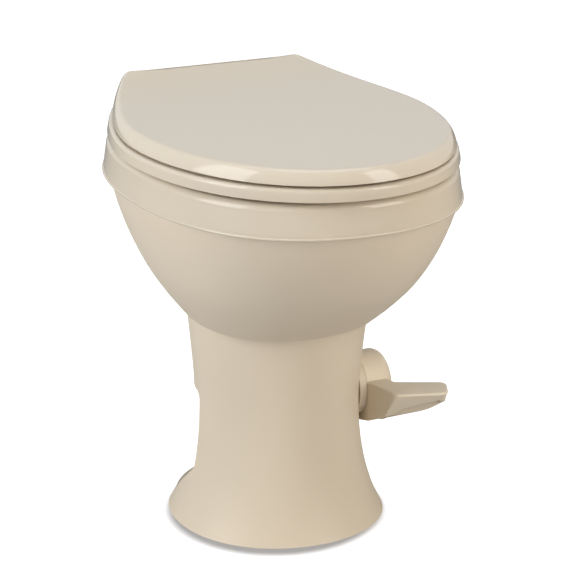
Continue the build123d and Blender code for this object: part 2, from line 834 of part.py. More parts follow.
# Clamp: a front and a rear half that squeeze the two flanges together
groove_low = joint_z - flange_thick - snug_fit
groove_high = joint_z + soft_gap + flange_thick + snug_fit
for name, side in (("front", -1), ("rear", 1)):
    with BuildPart() as clamp:
        with BuildSketch(Plane.XZ):
            with BuildLine():
                Polyline(
                    (housing_r + housing_wall + soft_gap, groove_low - clamp_lip),
                    (clamp_out_r, groove_low - clamp_lip),
                    (clamp_out_r, groove_high + clamp_lip),
                    (neck_r + soft_gap, groove_high + clamp_lip),
                    (neck_r + soft_gap, groove_high),
                    (flange_r + soft_gap, groove_high),
                    (flange_r + soft_gap, groove_low),
                    (housing_r + housing_wall + soft_gap, groove_low),
                    close=True,
                )
            make_face()
        revolve(axis=Axis.Z)
        with BuildSketch(Plane.XY.offset(groove_low - clamp_lip)):
            for way in (-1, 1):
                with Locations((way * (clamp_out_r + (clamp_lug_long - clamp_lip) / 2), 0)):
                    Rectangle(clamp_lug_long + clamp_lip, 2 * clamp_lug_thick + clamp_gap)
        extrude(amount=groove_high - groove_low + 2 * clamp_lip)
        split(bisect_by=Plane.XZ.offset(-side * clamp_gap / 2), keep=Keep.TOP if side < 0 else Keep.BOTTOM)
        with BuildSketch(Plane.XZ.offset(-foot_long)):
            for way in (-1, 1):
                with Locations((way * (clamp_out_r + clamp_lug_long / 2), joint_z)):
                    Circle(clamp_screw_r + snug_fit)
        extrude(amount=2 * foot_long, mode=Mode.SUBTRACT)
    clamp.part.label = f"clamp_{name}"
    export_step(clamp.part, f"parts/clamp_{name}.step")

# Clamp screws with their nuts
lug_middle_x = clamp_out_r + clamp_lug_long / 2
lug_face_y = clamp_gap / 2 + clamp_lug_thick
with BuildPart() as clamp_screws:
    for way in (-1, 1):
        for plane_y, radius, length in (
            (-lug_face_y, clamp_head_r, -clamp_head_thick),
            (-lug_face_y, clamp_screw_r, 2 * lug_face_y + clamp_nut_thick),
        ):
            with BuildSketch(Plane.XZ.offset(-plane_y)):
                with Locations((way * lug_middle_x, joint_z)):
                    Circle(radius)
            extrude(amount=-length)
clamp_screws.part.label = "clamp_screws"
export_step(clamp_screws.part, "parts/clamp_screws.step")

with BuildPart() as clamp_nuts:
    with BuildSketch(Plane.XZ.offset(-lug_face_y)):
        with Locations((-lug_middle_x, joint_z), (lug_middle_x, joint_z)):
            RegularPolygon(clamp_head_r, 6)
            Circle(clamp_screw_r + snug_fit, mode=Mode.SUBTRACT)
    extrude(amount=-clamp_nut_thick)
clamp_nuts.part.label = "clamp_nuts"
export_step(clamp_nuts.part, "parts/clamp_nuts.step")

# Drive shaft: round in the bush and cam, square in the ball and the pedal
ball_square_x = ball_r - ball_hub_long
shaft_round_x = ball_r + side_gap
shaft_step_x = hub_boss_x + side_gap + cartridge_thick + cartridge_hub_long
shaft_end_x = hub_out_x - pedal_screw_head_thick - side_gap
with BuildPart() as drive_shaft:
    with BuildSketch(across(ball_square_x)):
        Rectangle(square_side, square_side)
    extrude(amount=shaft_end_x - ball_square_x)
    with BuildSketch(across(shaft_round_x)):
        Circle(shaft_r)
    extrude(amount=shaft_step_x - shaft_round_x)
    with BuildSketch(across(shaft_end_x)):
        Circle(pedal_screw_r + snug_fit)
    extrude(amount=-pedal_screw_long - side_gap, mode=Mode.SUBTRACT)
drive_shaft.part.label = "drive_shaft"
export_step(drive_shaft.part, "parts/drive_shaft.step")

with BuildPart() as ball_pivot:
    with BuildSketch(across(-ball_square_x)):
        Rectangle(square_side, square_side)
    extrude(amount=-ball_hub_long - side_gap)
    with BuildSketch(across(-shaft_round_x)):
        Circle(shaft_r)
    extrude(amount=-(bush_out_x + bush_flange_thick - shaft_round_x))
ball_pivot.part.label = "ball_pivot"
export_step(ball_pivot.part, "parts/ball_pivot.step")

# Cam: its reach grows by the same amount for each degree of pedal travel
lift_rate = cam_lift / radians(pedal_travel)


def cam_point(turn):
    """Point of the lobe that touches the flat plunger head when the pedal has turned by turn."""
    angle = -radians(turn)
    reach = cam_start_r + lift_rate * radians(turn)
    return (
        reach * cos(angle) + lift_rate * sin(angle),
        reach * sin(angle) - lift_rate * cos(angle),
    )


lobe_turns = [
    -lobe_spare + step * (pedal_travel + 2 * lobe_spare) / lobe_steps for step in range(lobe_steps + 1)
]
with BuildPart() as valve_cam:
    with BuildSketch(across(cam_x)):
        with BuildLine():
            Spline([cam_point(turn) for turn in lobe_turns])
            Line(cam_point(lobe_turns[0]), (0, 0))
            Line((0, 0), cam_point(lobe_turns[-1]))
        make_face()
        Circle(cam_hub_r)
        Circle(shaft_r + snug_fit, mode=Mode.SUBTRACT)
    extrude(amount=cam_thick)
valve_cam.part.label = "valve_cam"
export_step(valve_cam.part, "parts/valve_cam.step")

# Water valve: plunger, body with its inlet and outlet, and two screws
plunger_y = cam_start_r + soft_gap
valve_y = door_right_y
valve_back_y = valve_y + valve_flange_thick + valve_long
port_y = valve_back_y - valve_port_from_end

with BuildPart() as valve_plunger:
    with BuildSketch(rearward(plunger_y)):
        Circle(plunger_head_r)
    extrude(amount=plunger_head_thick)
    with BuildSketch(rearward(plunger_y)):
        Circle(plunger_r)
    extrude(amount=plunger_long)
valve_plunger.part.label = "valve_plunger"
export_step(valve_plunger.part, "parts/valve_plunger.step")

with BuildPart() as valve_body:
    with BuildSketch(rearward(valve_y)):
        SlotOverall(2 * valve_flange_half + 2 * valve_screw_ear, 2 * valve_screw_ear + valve_screw_ear)
    extrude(amount=valve_flange_thick)
    with BuildSketch(rearward(valve_y + valve_flange_thick)):
        Circle(valve_r)
    extrude(amount=valve_long)
    with BuildSketch(rearward(valve_back_y)):
        Circle(inlet_r)
    extrude(amount=inlet_long)
    with BuildSketch(Plane(origin=(plunger_x, port_y, valve_z))):
        Circle(tube_bore_r - snug_fit)
    extrude(amount=valve_r + barb_long)
    with BuildSketch(rearward(valve_y)):
        Circle(plunger_r + run_fit)
    extrude(amount=plunger_y + plunger_long - valve_y + cam_lift + side_gap, mode=Mode.SUBTRACT)
    with BuildSketch(rearward(port_y)):
        Circle(water_bore_r)
    extrude(amount=valve_port_from_end + inlet_long + over, mode=Mode.SUBTRACT)
    with BuildSketch(rearward(valve_y)):
        with Locations(*valve_screw_places):
            Circle(valve_screw_r + snug_fit)
    extrude(amount=valve_flange_thick, mode=Mode.SUBTRACT)
valve_body.part.label = "valve_body"
export_step(valve_body.part, "parts/valve_body.step")

with BuildPart() as valve_screws:
    with BuildSketch(rearward(valve_y + valve_flange_thick)):
        with Locations(*valve_screw_places):
            Circle(valve_screw_head_r)
    extrude(amount=valve_screw_head_thick)
    with BuildSketch(rearward(valve_y + valve_flange_thick)):
        with Locations(*valve_screw_places):
            Circle(valve_screw_r)
    extrude(amount=-valve_flange_thick - lug_thick)
valve_screws.part.label = "valve_screws"
export_step(valve_screws.part, "parts/valve_screws.step")

# Spring cartridge on the pedestal's boss, inside the pedal's cup
cartridge_x = hub_boss_x
with BuildPart() as spring_cartridge:
    with BuildSketch(across(cartridge_x)):
        Circle(cartridge_r)
    extrude(amount=cartridge_thick)
    with BuildSketch(across(cartridge_x)):
        Circle(cartridge_hub_r)
    extrude(amount=cartridge_thick + cartridge_hub_long)
    with BuildSketch(across(cartridge_x)):
        Circle(shaft_r + run_fit)
        with PolarLocations(cartridge_screw_circle_r, cartridge_screw_count):
            Circle(cartridge_screw_r + snug_fit)
    extrude(amount=cartridge_thick + cartridge_hub_long, mode=Mode.SUBTRACT)
spring_cartridge.part.label = "spring_cartridge"
export_step(spring_cartridge.part, "parts/spring_cartridge.step")

with BuildPart() as cartridge_screws:
    with BuildSketch(across(cartridge_x + cartridge_thick)):
        with PolarLocations(cartridge_screw_circle_r, cartridge_screw_count):
            Circle(cartridge_head_r)
    extrude(amount=cartridge_head_thick)
    with BuildSketch(across(cartridge_x + cartridge_thick)):
        with PolarLocations(cartridge_screw_circle_r, cartridge_screw_count):
            Circle(cartridge_screw_r)
    extrude(amount=-cartridge_thick - cartridge_screw_long)
cartridge_screws.part.label = "cartridge_screws"
export_step(cartridge_screws.part, "parts/cartridge_screws.step")

# Return spring: one unbroken square wire round the cartridge's hub
spring_r = cartridge_hub_r + spring_wire_half + soft_gap
spring_x = cartridge_x + cartridge_thick + cartridge_head_thick + spring_wire_half + soft_gap
with BuildPart() as return_spring:
    with BuildLine():
        coil = Helix(
            pitch=spring_pitch,
            height=spring_pitch * spring_turns,
            radius=spring_r,
            center=(spring_x, 0, shaft_z),
            direction=(1, 0, 0),
        )
    with BuildSketch(Plane(origin=coil @ 0, z_dir=coil % 0)):
        Rectangle(2 * spring_wire_half, 2 * spring_wire_half)
    sweep(is_frenet=True)
return_spring.part.label = "return_spring"
export_step(return_spring.part, "parts/return_spring.step")

# Pedal: a hub cup, an arm that drops to a heel, and a toe pad that leans outward
pad_turn = radians(pad_axis)
pad_along = (cos(pad_turn), -sin(pad_turn))
pad_side = (-sin(pad_turn), -cos(pad_turn))


def pad_place(along, sideways):
    """Place in plan: along the pad from its rear root, and sideways towards its front edge."""
    return (
        pad_back_x + along * pad_along[0] + sideways * pad_side[0],
        pad_back_y + along * pad_along[1] + sideways * pad_side[1],
    )


def pad_outline(inset):
    """Plan of arm and pad together, smaller by inset all round."""
    with BuildSketch() as plan:
        with BuildLine():
            Polyline(
                (hub_in_x + side_gap, 0),
                (hub_in_x + side_gap, -hub_r),
                pad_place(0, pad_width),
                pad_place(pad_long, pad_width),
                pad_place(pad_long, 0),
                pad_place(0, 0),
                (hub_out_x - hub_round, -hub_round),
                (hub_out_x - hub_round, 0),
                close=True,
            )
        make_face()
        fillet(plan.vertices().group_by(Axis.X)[-1] + plan.vertices().group_by(Axis.X)[-2], pad_round)
        if inset:
            offset(amount=-inset, kind=Kind.INTERSECTION, mode=Mode.REPLACE)
    return plan.sketch


def arm_profile(top_inset):
    """Side view of the arm: flat on top, its underside rising from the heel to the toe."""
    top = pad_top_z - top_inset
    with BuildSketch(Plane.YZ) as view:
        with BuildLine():
            Polyline(
                (0, shaft_z + hub_round),
                (arm_heel_y, shaft_z - hub_r + hub_round),
                (arm_low_y, arm_low_z),
                (arm_front_y, top - arm_front_thick),
                (arm_front_y - over, top - arm_front_thick),
                (arm_front_y - over, top),
                (-hub_r + hub_round, top),
                close=True,
            )
        make_face()
    return view.sketch


with BuildPart() as arm_outside:
    with BuildSketch(Plane.XY.offset(arm_low_z - over)):
        add(pad_outline(0))
    extrude(amount=pad_top_z - arm_low_z + over)
    fillet(arm_outside.faces().sort_by(Axis.Z)[-1].edges(), pad_edge)
    extrude(arm_profile(0), amount=2 * hub_out_x, mode=Mode.INTERSECT)

with BuildPart() as arm_inside:
    with BuildSketch(Plane.XY.offset(arm_low_z - over)):
        add(pad_outline(pedal_wall))
    extrude(amount=pad_top_z - pedal_wall - arm_low_z + over)
    with BuildSketch(across(0)):
        Circle(hub_r)
    extrude(amount=2 * hub_out_x, mode=Mode.SUBTRACT)

with BuildPart() as pedal_hub:
    with BuildSketch(across(hub_in_x)):
        Circle(hub_r)
    extrude(amount=hub_out_x - hub_in_x)
    fillet(pedal_hub.faces().sort_by(Axis.X)[-1].edges(), hub_round)

with BuildPart() as pedal:
    add(arm_outside.part)
    add(arm_inside.part, mode=Mode.SUBTRACT)
    add(pedal_hub.part)
    with BuildSketch(across(hub_in_x)):
        Circle(cup_r)
    extrude(amount=hub_out_x - hub_in_x - cup_wall, mode=Mode.SUBTRACT)
    with BuildSketch(across(hub_in_x)):
        Rectangle(square_side + 2 * snug_fit, square_side + 2 * snug_fit)
    extrude(amount=hub_out_x - hub_in_x - pedal_screw_head_thick, mode=Mode.SUBTRACT)
    with BuildSketch(across(hub_out_x)):
        Circle(pedal_screw_head_r + snug_fit)
    extrude(amount=-pedal_screw_head_thick, mode=Mode.SUBTRACT)
pedal.part.label = "pedal"
export_step(pedal.part, "parts/pedal.step")

with BuildPart() as pedal_screw:
    with BuildSketch(across(hub_out_x)):
        Circle(pedal_screw_head_r)
    extrude(amount=-pedal_screw_head_thick)
    with BuildSketch(across(hub_out_x)):
        Circle(pedal_screw_r)
    extrude(amount=-pedal_screw_head_thick - pedal_screw_long)
pedal_screw.part.label = "pedal_screw"
export_step(pedal_screw.part, "parts/pedal_screw.step")

# Water line: a tube up the back, a vacuum breaker and a nozzle through the bowl
tube_start_z = valve_z + valve_r + side_gap
tube_end_z = breaker_low_z - side_gap
with BuildPart() as rinse_tube:
    with BuildLine():
        route = FilletPolyline(
            (plunger_x, port_y, tube_start_z),
            (plunger_x, port_y, tube_rise_z),
            (0, breaker_y, tube_top_bend_z),
            (0, breaker_y, tube_end_z),
            radius=tube_bend_r,
        )
    with BuildSketch(Plane(origin=route @ 0, z_dir=route % 0)):
        Circle(tube_r)
        Circle(tube_bore_r, mode=Mode.SUBTRACT)
    sweep()
rinse_tube.part.label = "rinse_tube"
export_step(rinse_tube.part, "parts/rinse_tube.step")

with BuildPart() as tube_clamps:
    for clamp_x, clamp_y, clamp_z in (
        (plunger_x, port_y, tube_start_z + tube_clamp_width / 2),
        (0, breaker_y, tube_end_z - tube_clamp_width - tube_clamp_width / 2),
    ):
        with BuildSketch(Plane(origin=(clamp_x, clamp_y, clamp_z))):
            Circle(tube_r + snug_fit + tube_clamp_wall)
            Circle(tube_r + snug_fit, mode=Mode.SUBTRACT)
        extrude(amount=tube_clamp_width)
tube_clamps.part.label = "tube_clamps"
export_step(tube_clamps.part, "parts/tube_clamps.step")

port_face_y = breaker_y - breaker_r - breaker_port_long


def forward(y):
    """Plane square to the nozzle at y, facing the front, with its origin on the nozzle's axis."""
    return Plane(origin=(0, y, nozzle_z), x_dir=(1, 0, 0), z_dir=(0, -1, 0))


with BuildPart() as vacuum_breaker:
    with BuildSketch(Plane(origin=(0, breaker_y, breaker_low_z))):
        Circle(breaker_r)
    extrude(amount=breaker_top_z - breaker_low_z)
    chamfer(vacuum_breaker.faces().sort_by(Axis.Z)[-1].edges(), breaker_r - breaker_cap_r)
    with BuildSketch(Plane(origin=(0, breaker_y, breaker_low_z))):
        Circle(tube_bore_r - snug_fit)
    extrude(amount=-barb_long)
    with BuildSketch(forward(breaker_y)):
        Circle(breaker_port_r)
    extrude(amount=breaker_y - port_face_y)
vacuum_breaker.part.label = "vacuum_breaker"
export_step(vacuum_breaker.part, "parts/vacuum_breaker.step")

nozzle_inner_y = bowl_back - bowl_wall - nozzle_back_step
with BuildPart() as spray_nozzle:
    with BuildSketch(forward(port_face_y)):
        Circle(nozzle_r)
    extrude(amount=port_face_y - nozzle_inner_y)
    with BuildSketch(forward(nozzle_inner_y)):
        Circle(nozzle_head_r)
    extrude(amount=nozzle_head_thick)
    with BuildSketch(forward(nozzle_inner_y - nozzle_head_thick)):
        Rectangle(2 * nozzle_head_r, nozzle_slot)
    extrude(amount=-nozzle_head_thick / 2, mode=Mode.SUBTRACT)
spray_nozzle.part.label = "spray_nozzle"
export_step(spray_nozzle.part, "parts/spray_nozzle.step")
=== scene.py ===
# %% [markdown]
# # A pedal-flush toilet for a travel vehicle
# The measured model comes first, as a fixed frame of named parts. This script
# dresses that frame: smooth shells over the faceted ones, moulded plastic
# finishes, a camera and soft studio light.

# %% Load the measured frame
import json
from math import cos, pi, radians, sin, sqrt, tan

import bmesh
import bpy
from mathutils import Matrix, Vector


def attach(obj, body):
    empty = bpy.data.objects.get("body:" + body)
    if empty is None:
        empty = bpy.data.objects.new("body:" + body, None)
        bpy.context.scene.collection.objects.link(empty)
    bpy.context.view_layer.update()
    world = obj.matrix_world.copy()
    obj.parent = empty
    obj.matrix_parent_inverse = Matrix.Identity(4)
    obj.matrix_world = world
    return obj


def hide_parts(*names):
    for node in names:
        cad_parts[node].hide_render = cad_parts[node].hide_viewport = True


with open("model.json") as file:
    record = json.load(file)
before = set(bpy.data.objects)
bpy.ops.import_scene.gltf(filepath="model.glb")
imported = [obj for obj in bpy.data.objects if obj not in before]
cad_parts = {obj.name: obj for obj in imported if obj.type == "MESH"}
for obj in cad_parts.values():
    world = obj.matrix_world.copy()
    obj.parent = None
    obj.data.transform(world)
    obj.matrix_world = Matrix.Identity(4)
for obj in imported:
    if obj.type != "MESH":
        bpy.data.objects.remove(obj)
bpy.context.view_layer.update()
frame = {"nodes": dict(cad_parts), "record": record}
print("nodes:", len(frame["nodes"]))

# %% [markdown]
# ## The photographer's place
# The view is a long lens from the front left, a little above the lid. The
# numbers came from fitting the outlines of the measured part to the picture,
# so here they are only written down and turned into a camera.

# %% Camera
mm = 0.001
turn, rise = radians(-24.26), radians(18.51)
away = Vector((sin(turn) * cos(rise), -cos(turn) * cos(rise), sin(rise)))
side = Vector((cos(turn), sin(turn), 0))
above = away.cross(side)
aim, distance = Vector((12.0, -6.1, 261.3)) * mm, 2.8034
focal_pixels, picture_pixels, sensor = 2516.3, 580, 36
camera = bpy.data.objects.new("camera", bpy.data.cameras.new("camera"))
camera.data.sensor_width = sensor
camera.data.lens = focal_pixels * sensor / picture_pixels
camera.matrix_world = Matrix.Translation(aim + away * distance) @ Matrix(
    (side, above, away)
).transposed().to_4x4()
bpy.context.scene.collection.objects.link(camera)
bpy.context.scene.camera = camera
print("camera stands at", [round(v, 3) for v in camera.location])

# %% [markdown]
# ## Outlines as the mould maker drew them
# Every shell here starts from a plan outline in millimetres. An oval is four
# Bezier quarters, so a few numbers give a fair curve. The rim adds a squared
# deck behind, and the seat and lid have leaning sides, round rear corners and
# a slightly hollow back edge.

# %% Outline helpers
def bezier(start, pull_a, pull_b, end, steps):
    """Points on one cubic curve, without its last point."""
    points = []
    for step in range(steps):
        t = step / steps
        s = 1 - t
        points.append(tuple(
            s * s * s * a + 3 * s * s * t * b + 3 * s * t * t * c + t * t * t * d
            for a, b, c, d in zip(start, pull_a, pull_b, end)
        ))
    return points


def mirrored(half):
    """Closed outline from the points of its right side, front to back."""
    return half + [(-x, y) for x, y in reversed(half) if abs(x) > 1e-6]


def front_quarter(width, front, middle, full, steps=40):
    """From the front tip to the widest point."""
    return bezier((0, -front), (full * width, -front), (width, middle - full * (front + middle)),
                  (width, middle), steps)


def rear_quarter(width, back, middle, full, steps=40):
    """From the widest point to the middle of the back."""
    return bezier((width, middle), (width, middle + full * (back - middle)),
                  (full * width, back), (0, back), steps)


def oval(width, front, back, middle=3.2, fulls=(0.64, 0.59)):
    """Oval from y = -front to y = back, in 160 points."""
    return mirrored(front_quarter(width, front, middle, fulls[0])
                    + rear_quarter(width, back, middle, fulls[1]) + [(0, back)])


def rounded_corner(before, corner, after, radius, steps=10):
    """An arc that rounds the corner between two straight runs."""
    corner = Vector(corner)
    one = (Vector(before) - corner).normalized()
    two = (Vector(after) - corner).normalized()
    half_angle = one.angle(two) / 2
    reach = radius / tan(half_angle)
    centre = corner + (one + two).normalized() * (radius / sin(half_angle))
    start, end = corner + one * reach - centre, corner + two * reach - centre
    sweep = start.angle_signed(end)
    turns = (sweep * step / steps for step in range(steps + 1))
    return [(centre.x + start.x * cos(a) + start.y * sin(a),
             centre.y - start.x * sin(a) + start.y * cos(a)) for a in turns]


def far_from(points, place, reach):
    """The points that lie further from a place than this reach."""
    return [p for p in points if (Vector(p) - Vector(place)).length > reach]


def hinged_outline(width, front, corner, low_pull, high_pull, smaller=0.0):
    """Seat and lid: oval front, leaning sides, round rear corners, hollow back edge."""
    w, cx, cy, start = width - smaller, corner[0] - smaller, corner[1] - smaller, -7.5
    run, lean, hollow = cy - start, radians(34.0), 6.2
    low_end = (w, start + low_pull * run)
    high_end = (cx + high_pull * run * sin(lean), cy - high_pull * run * cos(lean))
    side_run = bezier((w, start), low_end, high_end, (cx, cy), 44)
    bend = (cx * cx + hollow * hollow) / (2 * hollow)
    back = [(x, cy - hollow + bend - sqrt(bend * bend - x * x))
            for x in (cx * (1 - step / 30) for step in range(1, 31))]
    side_run, back = far_from(side_run, (cx, cy), 16.5), far_from(back, (cx, cy), 16.5)
    corner_arc = rounded_corner(side_run[-1], (cx, cy), back[0], 18.0)
    return mirrored(front_quarter(w, front - smaller, start, 0.57) + side_run + corner_arc + back)


def deck_outline():
    """Rim: an oval with a squared deck behind it, joined by a concave corner."""
    half, deep, bend, width, middle = 106.0, 242.0, 26.0, 181.5, 3.2
    outer = [p for p in rear_quarter(width, 240.0, middle, 0.59, 200) if p[0] > half]
    meet = outer[-1]
    outer = far_from(outer, meet, bend * 0.5)[::4]
    inner = rounded_corner(outer[-1], meet, (half, deep), bend)
    corner = rounded_corner((half, meet[1]), (half, deep), (0, deep), 22.0)
    back = [(half * (1 - step / 8) * 0.79, deep) for step in range(1, 9)]
    return mirrored(front_quarter(width, 241.7, middle, 0.64) + outer + inner + corner + back)


def inset(points, amount):
    """The same closed outline moved inwards, each point along its own normal."""
    moved = []
    for i, (x, y) in enumerate(points):
        before, after = Vector(points[i - 1]), Vector(points[(i + 1) % len(points)])
        along = (after - before).normalized()
        moved.append((x - along.y * amount, y + along.x * amount))
    return moved


def resampled(points, count):
    """The closed outline with evenly spaced points, starting at its front tip."""
    closed = points + points[:1]
    lengths = [0.0]
    for a, b in zip(closed, closed[1:]):
        lengths.append(lengths[-1] + (Vector(b) - Vector(a)).length)
    even, i = [], 0
    for step in range(count):
        want = lengths[-1] * step / count
        while lengths[i + 1] < want:
            i += 1
        t = (want - lengths[i]) / (lengths[i + 1] - lengths[i])
        even.append(tuple(Vector(closed[i]).lerp(Vector(closed[i + 1]), t)))
    return even


lid_place = (176.0, 242.6, (109.1, 192.2), 0.06, 0.55)
seat_place = (181.0, 244.5, (113.0, 202.3), 0.28, 0.34)
lid_edge, seat_edge, deck_edge = hinged_outline(*lid_place), hinged_outline(*seat_place), deck_outline()
for name, outline in (("lid", lid_edge), ("seat", seat_edge), ("rim", deck_edge)):
    xs, ys = zip(*outline)
    print(name, "outline:", len(outline), "points,", round(max(xs) - min(xs), 1), "by",
          round(max(ys) - min(ys), 1), "mm")

# %% [markdown]
# ## Shells from stacked rings
# A moulded shell is a stack of rings. Each ring is an outline at one height,
# and neighbouring rings are bridged into a skin. Where the stack closes on
# itself the piece is a hollow shell. Otherwise rungs from side to side close
# its two ends, which suits a top that is straight across but curved along.
#
# Known fault: where two neighbouring rings lie at one height, the bridge can
# pair their points across the opening. Stray faces then cover the hole in the
# rim, the hollow under the lid and the outlet of the bowl. The count of open
# edges stays at nought, so it does not reveal them. A ring that is paired
# point by point with the next one should not do this.

# %% Stack and finish helpers
def ring(bm, outline, height):
    """One closed loop of points. Its height is a number, or a rule of y."""
    loop = bmesh.ops.create_circle(bm, segments=len(outline), radius=1)["verts"]
    for vert, (x, y) in zip(loop, outline):
        vert.co = Vector((x, y, height(y) if callable(height) else height)) * mm
    return loop


def edges_along(bm, verts):
    """The edges from each point to the next."""
    return [bm.edges.get(pair) for pair in zip(verts, verts[1:])]


def rungs(bm, loop):
    """Close a mirrored ring with rungs from its right side to its left side."""
    half = len(loop) // 2
    right, left = loop[1:half], loop[half + 1:]
    bmesh.ops.bridge_loops(bm, edges=edges_along(bm, right) + edges_along(bm, left))
    tips = [e for e in bm.edges if e.is_boundary and (loop[0] in e.verts or loop[half] in e.verts)]
    ends = [bm.edges.get((right[0], left[-1])), bm.edges.get((right[-1], left[0]))]
    bmesh.ops.holes_fill(bm, edges=tips + [e for e in ends if e], sides=4)


def stack(name, rings, closed=False, flat=False):
    """Bridge rings into a skin. Flat faces or rungs close the ends unless the stack closes."""
    bm = bmesh.new()
    loops = [ring(bm, outline, height) for outline, height in rings]
    neighbours = list(zip(loops, loops[1:])) + ([(loops[-1], loops[0])] if closed else [])
    for low, high in neighbours:
        both = edges_along(bm, low + low[:1]) + edges_along(bm, high + high[:1])
        bmesh.ops.bridge_loops(bm, edges=both)
    for loop in () if closed else (loops[0], loops[-1]):
        if flat:
            bmesh.ops.contextual_create(bm, geom=edges_along(bm, loop + loop[:1]))
        else:
            rungs(bm, loop)
    return finished(name, bm)


def mark_sharp(bm, sharp=32.0):
    """Smooth shading everywhere but across sharp edges."""
    for face in bm.faces:
        face.smooth = True
    for edge in bm.edges:
        edge.smooth = len(edge.link_faces) == 2 and edge.calc_face_angle(0) < radians(sharp)


def finished(name, bm):
    """Turn a bmesh into a named object, smooth but for its sharp edges."""
    bmesh.ops.recalc_face_normals(bm, faces=bm.faces)
    mark_sharp(bm)
    loose = sum(not edge.is_manifold for edge in bm.edges)
    mesh = bpy.data.meshes.new(name)
    bm.to_mesh(mesh)
    bm.free()
    piece = bpy.data.objects.new(name, mesh)
    bpy.context.scene.collection.objects.link(piece)
    print(name, len(mesh.polygons), "faces,", loose, "open edges")
    return piece


def dressed(piece, body, material, *nodes):
    """Give a piece its body, its finish and the measured nodes that it stands for."""
    piece.data.materials.clear()
    piece.data.materials.append(material)
    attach(piece, body)
    if nodes:
        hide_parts(*nodes)
    return piece


def carved(piece, *cutters):
    """Take each cutter away from the piece for good."""
    for cutter in cutters:
        cut = piece.modifiers.new(cutter.name, "BOOLEAN")
        cut.object, cut.solver = cutter, "EXACT"
        seen = piece.evaluated_get(bpy.context.evaluated_depsgraph_get())
        opened = bpy.data.meshes.new_from_object(seen)
        piece.modifiers.clear()
        piece.data = opened
        bpy.data.objects.remove(cutter)
    bm = bmesh.new()
    bm.from_mesh(piece.data)
    bmesh.ops.remove_doubles(bm, verts=bm.verts, dist=1e-6)
    mark_sharp(bm)
    bm.to_mesh(piece.data)
    bm.free()
    return piece


def between(levels, values, level):
    """Smooth curve through the values, for shapes that swell and narrow."""
    i = max(k for k in range(len(levels) - 1) if levels[k] <= level)

    def slope(k):
        a, b = max(k - 1, 0), min(k + 1, len(levels) - 1)
        return (values[b] - values[a]) / (levels[b] - levels[a])

    width = levels[i + 1] - levels[i]
    t = (level - levels[i]) / width
    return ((2 * t**3 - 3 * t * t + 1) * values[i] + (t**3 - 2 * t * t + t) * width * slope(i)
            + (3 * t * t - 2 * t**3) * values[i + 1] + (t**3 - t * t) * width * slope(i + 1))


def quarter_turn(steps):
    """Sine and cosine of even steps from level to upright."""
    angles = [radians(90 * step / steps) for step in range(steps + 1)]
    return [(sin(angle), cos(angle)) for angle in angles]


# %% [markdown]
# ## Moulded plastic
# The rim, seat and lid are glossy bone plastic, and the bowl and pedestal are
# the same plastic with a softer shine. The pedal is of it too. Their colours
# differ only as painted light and shade: the glossy finish is set a little
# darker than the satin one, to offset how brightly the lamps fall on the
# glossy parts, and the pedal's is set lighter to make up for the shade that
# the bowl and column cast on it. Real mouldings are never perfectly flat, so
# one shared group gives each finish a faint flow pattern in its colour and a
# very shallow waviness in its surface.

# %% Moulded surface group
def moulded_group():
    """Colour, roughness and normal of a moulding, ready for any finish."""
    group = bpy.data.node_groups.new("moulded_surface", "ShaderNodeTree")
    new = group.interface.new_socket
    new("Colour", in_out="INPUT", socket_type="NodeSocketColor")
    new("Second colour", in_out="INPUT", socket_type="NodeSocketColor")
    new("Flow size", in_out="INPUT", socket_type="NodeSocketFloat")
    new("Roughness", in_out="INPUT", socket_type="NodeSocketFloat")
    new("Grain depth", in_out="INPUT", socket_type="NodeSocketFloat")
    new("Colour", in_out="OUTPUT", socket_type="NodeSocketColor")
    new("Roughness", in_out="OUTPUT", socket_type="NodeSocketFloat")
    new("Normal", in_out="OUTPUT", socket_type="NodeSocketVector")
    node, link = group.nodes.new, group.links.new
    inputs, outputs = node("NodeGroupInput"), node("NodeGroupOutput")
    place = node("ShaderNodeTexCoord")
    flow, grain = node("ShaderNodeTexNoise"), node("ShaderNodeTexNoise")
    flow.inputs["Detail"].default_value = 3
    grain.inputs["Scale"].default_value = 420
    grain.inputs["Detail"].default_value = 2
    mix = node("ShaderNodeMix")
    mix.data_type = "RGBA"
    rough = node("ShaderNodeMapRange")
    rough.inputs["To Min"].default_value = -0.015
    rough.inputs["To Max"].default_value = 0.015
    total = node("ShaderNodeMath")
    bump = node("ShaderNodeBump")
    bump.inputs["Distance"].default_value = 0.0002
    link(place.outputs["Object"], flow.inputs["Vector"])
    link(place.outputs["Object"], grain.inputs["Vector"])
    link(inputs.outputs["Flow size"], flow.inputs["Scale"])
    link(flow.outputs["Fac"], mix.inputs["Factor"])
    link(inputs.outputs["Colour"], mix.inputs["A"])
    link(inputs.outputs["Second colour"], mix.inputs["B"])
    link(flow.outputs["Fac"], rough.inputs["Value"])
    link(rough.outputs["Result"], total.inputs[0])
    link(inputs.outputs["Roughness"], total.inputs[1])
    link(grain.outputs["Fac"], bump.inputs["Height"])
    link(inputs.outputs["Grain depth"], bump.inputs["Strength"])
    link(mix.outputs["Result"], outputs.inputs["Colour"])
    link(total.outputs["Value"], outputs.inputs["Roughness"])
    link(bump.outputs["Normal"], outputs.inputs["Normal"])
    return group


moulded_surface = moulded_group()


def linear(red, green, blue):
    """A colour read off a screen, from 0 to 255, as the light that it stands for."""
    return tuple(((c / 255 + 0.055) / 1.055) ** 2.4 if c > 10 else c / 3294.6
                 for c in (red, green, blue)) + (1.0,)


